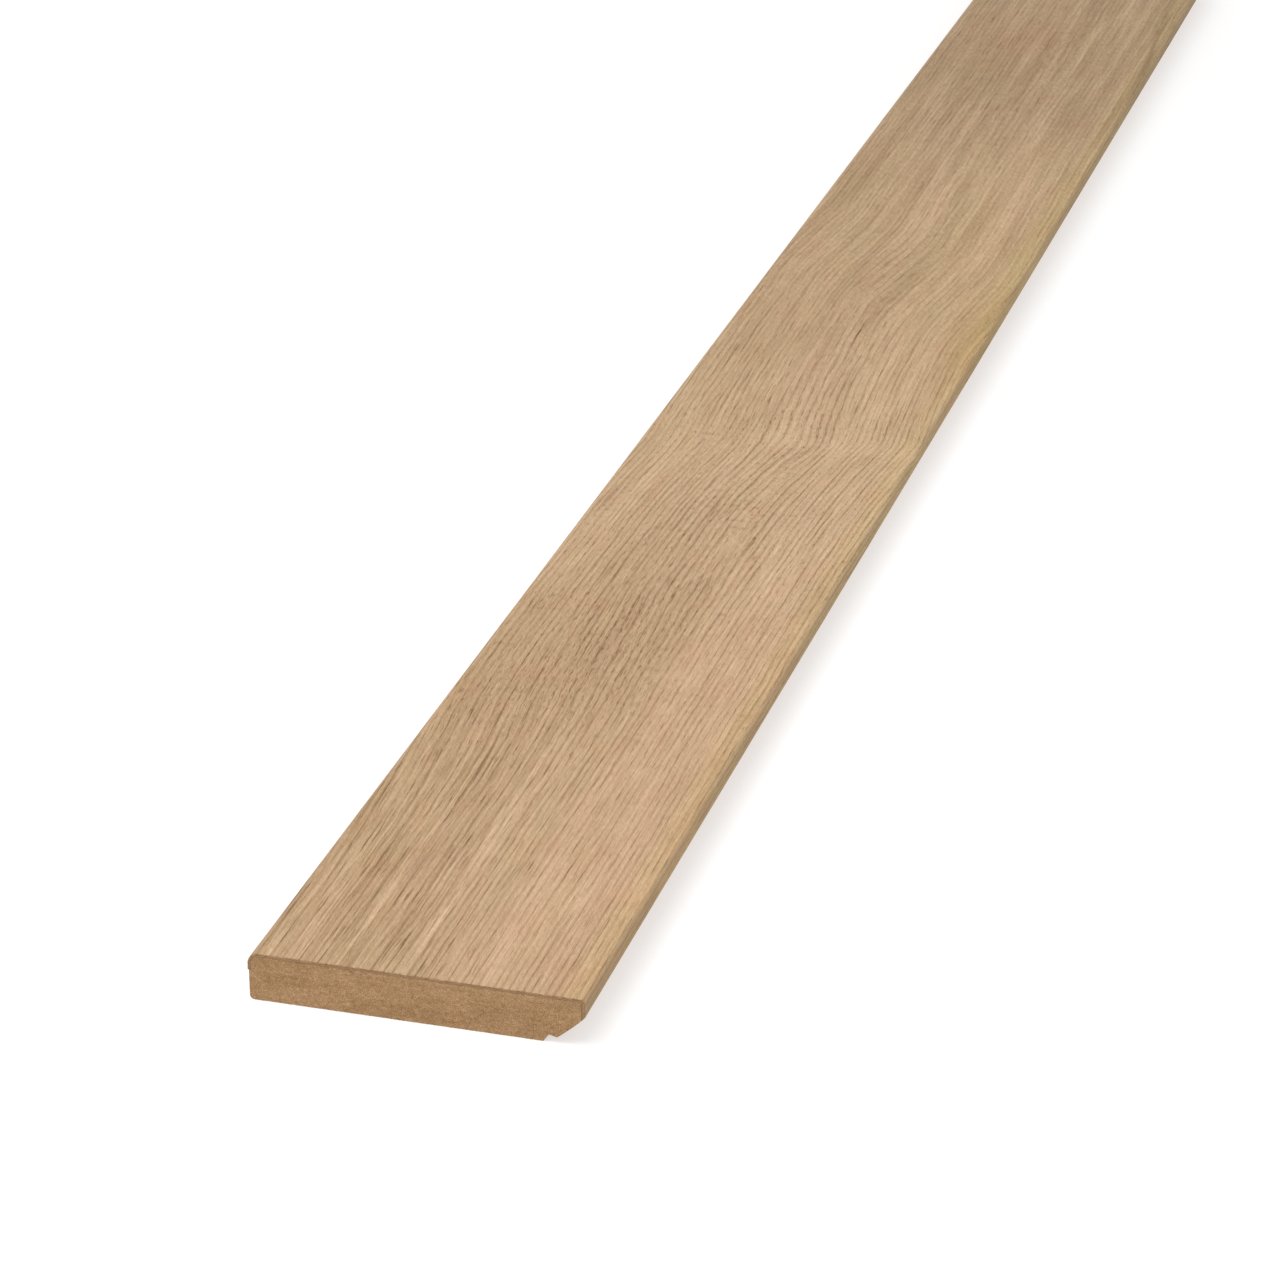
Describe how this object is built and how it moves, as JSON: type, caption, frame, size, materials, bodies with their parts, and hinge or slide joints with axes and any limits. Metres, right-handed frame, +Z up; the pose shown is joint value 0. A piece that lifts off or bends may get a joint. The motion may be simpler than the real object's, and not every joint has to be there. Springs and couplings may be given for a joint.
{
  "type": "threshold strip",
  "caption": "Flat wooden threshold strip with a moulded MDF core, oak veneer wrapped over its top and long edges, one rounded edge and one undercut edge with a relief notch.",
  "frame": {"origin": "middle of the width and of the length, in the plane of the flat underside", "axes": "+X across the strip towards the undercut edge, +Y along its length, +Z up out of the veneered top"},
  "size_m": [0.1, 1.05, 0.015],
  "materials": {
    "mdf": "raw sawn MDF, matt",
    "glue": "set hot-melt adhesive, brown",
    "fleece": "thin nonwoven soaked with adhesive",
    "oak": "raw sanded oak veneer, matt"
  },
  "bodies": {
    "root": {"mdf_core": "mdf", "glue_film": "glue", "veneer_fleece": "fleece", "oak_veneer": "oak"}
  },
  "joints": []
}
